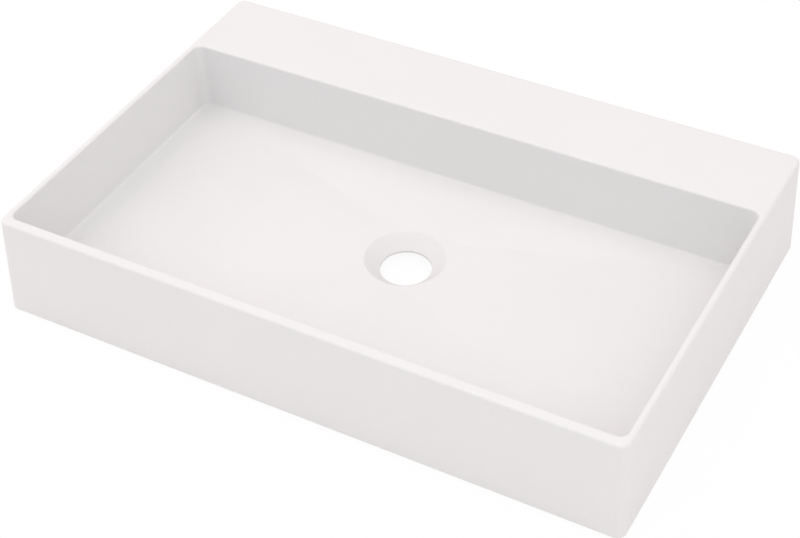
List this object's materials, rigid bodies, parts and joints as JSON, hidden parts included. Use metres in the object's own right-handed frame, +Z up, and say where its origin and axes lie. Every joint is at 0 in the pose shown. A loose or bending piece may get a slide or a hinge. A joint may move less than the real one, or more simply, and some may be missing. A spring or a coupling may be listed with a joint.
{
  "type": "countertop basin",
  "caption": "Rectangular countertop basin: a thin-walled casting with a wide level deck behind the bowl, a floor sloped to a central drain hole, and bearing pads underneath.",
  "frame": {"origin": "on the counter, under the middle of the basin's outline, which is also on the drain's axis", "axes": "+X to the right seen from the front, +Y from the front to the deck and the wall, +Z up"},
  "size_m": [0.5998, 0.3999, 0.101],
  "materials": {
    "mineral_composite": "matt, fine-grained",
    "pad_elastomer": "matt"
  },
  "bodies": {
    "root": {"basin_shell": "mineral_composite", "front_left_pad": "pad_elastomer", "front_right_pad": "pad_elastomer", "rear_left_pad": "pad_elastomer", "rear_right_pad": "pad_elastomer"}
  },
  "joints": []
}
